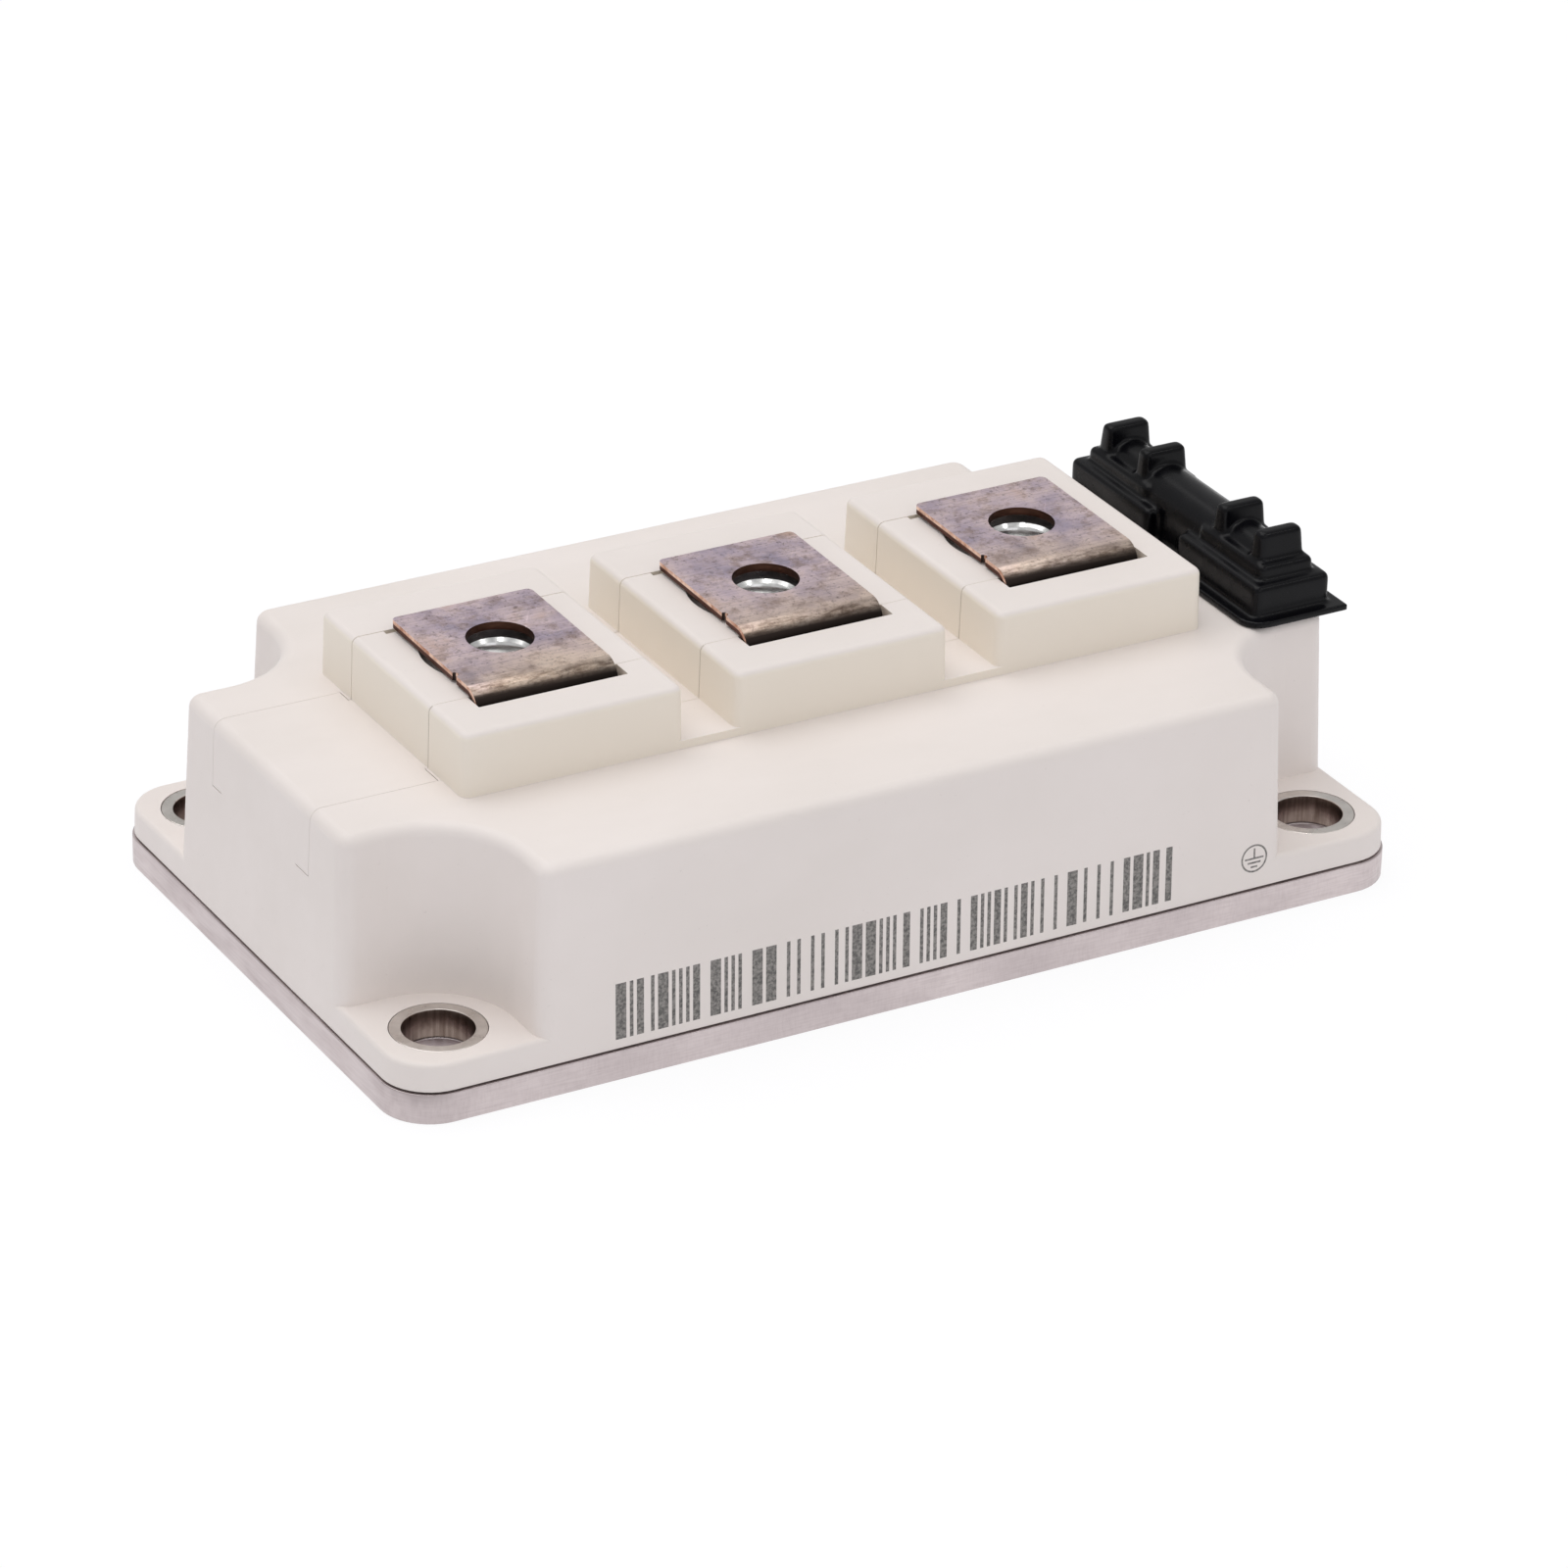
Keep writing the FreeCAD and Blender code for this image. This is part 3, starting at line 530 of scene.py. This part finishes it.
def earth_sign():
    """Ring, stem and three shrinking lines: the usual sign for protective earth."""
    bm = bmesh.new()
    outer = EARTH_RADIUS
    inner = EARTH_RADIUS - EARTH_LINE
    for k in range(EARTH_RING_STEPS):
        corners = []
        for step, radius in ((k, outer), (k + 1, outer), (k + 1, inner), (k, inner)):
            turn = 2 * math.pi * step / EARTH_RING_STEPS
            corners.append((EARTH_X + radius * math.cos(turn), EARTH_Z + radius * math.sin(turn)))
        add_patch(bm, corners)
    half = EARTH_LINE / 2
    add_bar(bm, EARTH_X - half, EARTH_X + half, EARTH_Z, EARTH_Z + EARTH_STEM * EARTH_RADIUS)
    for drop, share in EARTH_LINES:
        z = EARTH_Z - drop * EARTH_RADIUS
        reach = share * EARTH_RADIUS
        add_bar(bm, EARTH_X - reach, EARTH_X + reach, z - half, z + half)
    return new_piece("earth_sign", finished_mesh("earth_sign", bm), INK)


def nut_thread(node):
    """Helical ridge inside the plain bore of a nut."""
    low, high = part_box(node)
    centre = (low + high) / 2
    crest = NUT_BORE_RADIUS - THREAD_DEPTH
    section = ((NUT_BORE_RADIUS, -THREAD_FOOT), (crest, -THREAD_CREST),
               (crest, THREAD_CREST), (NUT_BORE_RADIUS, THREAD_FOOT))
    start = low.z + THREAD_PITCH
    end = high.z - THREAD_PITCH
    turns = (end - start) / THREAD_PITCH
    bm = bmesh.new()
    rings = []
    for k in range(int(turns * THREAD_STEPS) + 1):
        turn = 2 * math.pi * k / THREAD_STEPS
        z = start + THREAD_PITCH * k / THREAD_STEPS
        outward = Vector((math.cos(turn), math.sin(turn), 0.0))
        axis_point = Vector((centre.x, centre.y, z))
        ring = []
        for radius, lift in section:
            point = axis_point + outward * radius
            point.z += lift * THREAD_PITCH
            ring.append(bm.verts.new(point))
        rings.append(ring)
    for a, b in zip(rings, rings[1:]):
        for k in range(len(section)):
            following = (k + 1) % len(section)
            bm.faces.new((a[k], a[following], b[following], b[k]))
    bm.faces.new(rings[0][::-1])
    bm.faces.new(rings[-1])
    name = "thread_of_" + node
    return new_piece(name, finished_mesh(name, bm), MATERIALS["nut_"])


def soft_cap():
    """The cap's CAD form with blended corners, as from a mould, and fuller corners on the lip."""
    low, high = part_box("tab_cap")
    bm = bmesh.new()
    bm.from_mesh(nodes["tab_cap"].data)
    size = Vector((LIP_CORNER, LIP_CORNER, LIP_THICKNESS))
    for y in (low.y, high.y - LIP_CORNER):
        corner = bmesh.ops.create_cube(bm, size=1.0)["verts"]
        bmesh.ops.scale(bm, vec=size, verts=corner)
        place = Vector((high.x - LIP_CORNER, y, low.z))
        bmesh.ops.translate(bm, vec=place + size / 2, verts=corner)
    mesh = finished_mesh("soft_tab_cap", bm)
    obj = new_piece("soft_tab_cap", mesh, MATERIALS["tab_cap"])
    weld_points(obj)
    remesh = obj.modifiers.new("remesh", "REMESH")
    remesh.mode = "VOXEL"
    remesh.voxel_size = CAP_VOXEL
    remesh.use_smooth_shade = True
    smooth = obj.modifiers.new("smooth", "SMOOTH")
    smooth.factor = 0.5
    smooth.iterations = CAP_SMOOTHING
    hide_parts("tab_cap")
    return obj


for name, obj in nodes.items():
    dress(obj, material_of(name))
    if name.startswith(METAL_NODES):
        round_edges(obj)

printed_bars()
earth_sign()
for nut in NUTS:
    nut_thread(nut)
soft_cap()


# Floor, world and lamps

def ray_of_kind(tree, *kinds):
    """1 for rays of these kinds, which see a surface as it is written for them, else 0."""
    path = tree.nodes.new("ShaderNodeLightPath")
    total = 0.0
    for kind in kinds:
        node = tree.nodes.new("ShaderNodeMath")
        node.operation = "MAXIMUM"
        if isinstance(total, bpy.types.NodeSocket):
            tree.links.new(total, node.inputs[0])
        tree.links.new(path.outputs[f"Is {kind} Ray"], node.inputs[1])
        total = node.outputs["Value"]
    return total


def make_floor():
    """Pale floor that takes shadows, and shows the lens a nearly even white."""
    mesh = bpy.data.meshes.new("floor")
    far = FLOOR_REACH
    corners = [(-far, -far, 0), (far, -far, 0), (far, far, 0), (-far, far, 0)]
    mesh.from_pydata(corners, [], [(0, 1, 2, 3)])
    floor = bpy.data.objects.new("floor", mesh)
    floor.location.z = -FLOOR_DROP
    bpy.context.scene.collection.objects.link(floor)
    material = bpy.data.materials.new("pale_floor")
    material.use_nodes = True
    tree = material.node_tree
    shader = tree.nodes["Principled BSDF"]
    shader.inputs["Base Color"].default_value = (*FLOOR_COLOUR, 1.0)
    shader.inputs["Roughness"].default_value = 0.9
    glow = tree.nodes.new("ShaderNodeEmission")
    glow.inputs["Color"].default_value = (1.0, 1.0, 1.0, 1.0)
    glow.inputs["Strength"].default_value = FLOOR_GLOW
    share = tree.nodes.new("ShaderNodeMath")
    share.operation = "MULTIPLY"
    share.inputs[1].default_value = FLOOR_GLOW_SHARE
    tree.links.new(ray_of_kind(tree, "Camera", "Glossy", "Transmission"), share.inputs[0])
    mixed = tree.nodes.new("ShaderNodeMixShader")
    tree.links.new(share.outputs["Value"], mixed.inputs["Fac"])
    tree.links.new(shader.outputs["BSDF"], mixed.inputs[1])
    tree.links.new(glow.outputs["Emission"], mixed.inputs[2])
    tree.links.new(mixed.outputs["Shader"], tree.nodes["Material Output"].inputs["Surface"])
    dress(floor, material)


def make_world():
    """White to the lens; as light and in reflections, bright overhead and dim round the camera."""
    world = bpy.data.worlds.new("studio")
    bpy.context.scene.world = world
    world.use_nodes = True
    tree = world.node_tree
    background = tree.nodes["Background"]
    background.inputs["Color"].default_value = (1.0, 1.0, 1.0, 1.0)
    direction = tree.nodes.new("ShaderNodeTexCoord").outputs["Generated"]
    parts = tree.nodes.new("ShaderNodeSeparateXYZ")
    tree.links.new(direction, parts.inputs["Vector"])
    seen = ray_of_kind(tree, "Camera", "Transmission")
    rows = ((parts.outputs["Y"], -0.9, 0.3, WORLD_FRONT, WORLD_REAR),
            (parts.outputs["Z"], 0.0, 0.9, 0.7, 1.0),
            (seen, 0.0, 1.0, 0.0, 1.0))
    ranges = []
    for value, low, high, start, end in rows:
        node = tree.nodes.new("ShaderNodeMapRange")
        tree.links.new(value, node.inputs["Value"])
        for name, number in (("From Min", low), ("From Max", high), ("To Min", start), ("To Max", end)):
            node.inputs[name].default_value = number
        ranges.append(node.outputs["Result"])
    product = tree.nodes.new("ShaderNodeMath")
    product.operation = "MULTIPLY"
    tree.links.new(ranges[0], product.inputs[0])
    tree.links.new(ranges[1], product.inputs[1])
    strength = tree.nodes.new("ShaderNodeMath")
    strength.operation = "MAXIMUM"
    tree.links.new(product.outputs["Value"], strength.inputs[0])
    tree.links.new(ranges[2], strength.inputs[1])
    tree.links.new(strength.outputs["Value"], background.inputs["Strength"])


def softbox(name, place, side, watts, colour):
    """Square lamp aimed at the middle of the object."""
    light = bpy.data.lights.new(name, "AREA")
    light.shape = "SQUARE"
    light.size = side
    light.energy = watts
    light.color = colour
    lamp = bpy.data.objects.new(name, light)
    lamp.location = place
    lamp.rotation_mode = "QUATERNION"
    lamp.rotation_quaternion = (LAMP_AIM - Vector(place)).to_track_quat("-Z", "Y")
    bpy.context.scene.collection.objects.link(lamp)


def make_camera():
    """Camera at the photograph's place, turned and framed as the fit says."""
    azimuth = math.radians(CAMERA_AZIMUTH)
    elevation = math.radians(CAMERA_ELEVATION)
    roll = math.radians(CAMERA_ROLL)
    level = math.cos(elevation)
    back = Vector((math.sin(azimuth) * level, -math.cos(azimuth) * level, math.sin(elevation)))
    level_right = (-back).cross(Vector((0.0, 0.0, 1.0))).normalized()
    level_up = level_right.cross(-back)
    right = level_right * math.cos(roll) + level_up * math.sin(roll)
    up = level_up * math.cos(roll) - level_right * math.sin(roll)
    data = bpy.data.cameras.new("camera")
    data.sensor_width = SENSOR_WIDTH
    data.lens = CAMERA_FOCAL_PIXELS * SENSOR_WIDTH / IMAGE_PIXELS
    middle = IMAGE_PIXELS / 2
    data.shift_x = (middle - CAMERA_CENTRE_PIXELS[0]) / IMAGE_PIXELS
    data.shift_y = (CAMERA_CENTRE_PIXELS[1] - middle) / IMAGE_PIXELS
    data.clip_start = 0.01
    data.clip_end = 20.0
    camera = bpy.data.objects.new("camera", data)
    turn = Matrix((right, up, back)).transposed().to_4x4()
    camera.matrix_world = Matrix.Translation(CAMERA_TARGET + back * CAMERA_DISTANCE) @ turn
    bpy.context.scene.collection.objects.link(camera)
    bpy.context.scene.camera = camera


make_floor()
make_world()
for lamp in LAMPS:
    softbox(*lamp)
make_camera()
bpy.context.scene.view_settings.view_transform = "Standard"
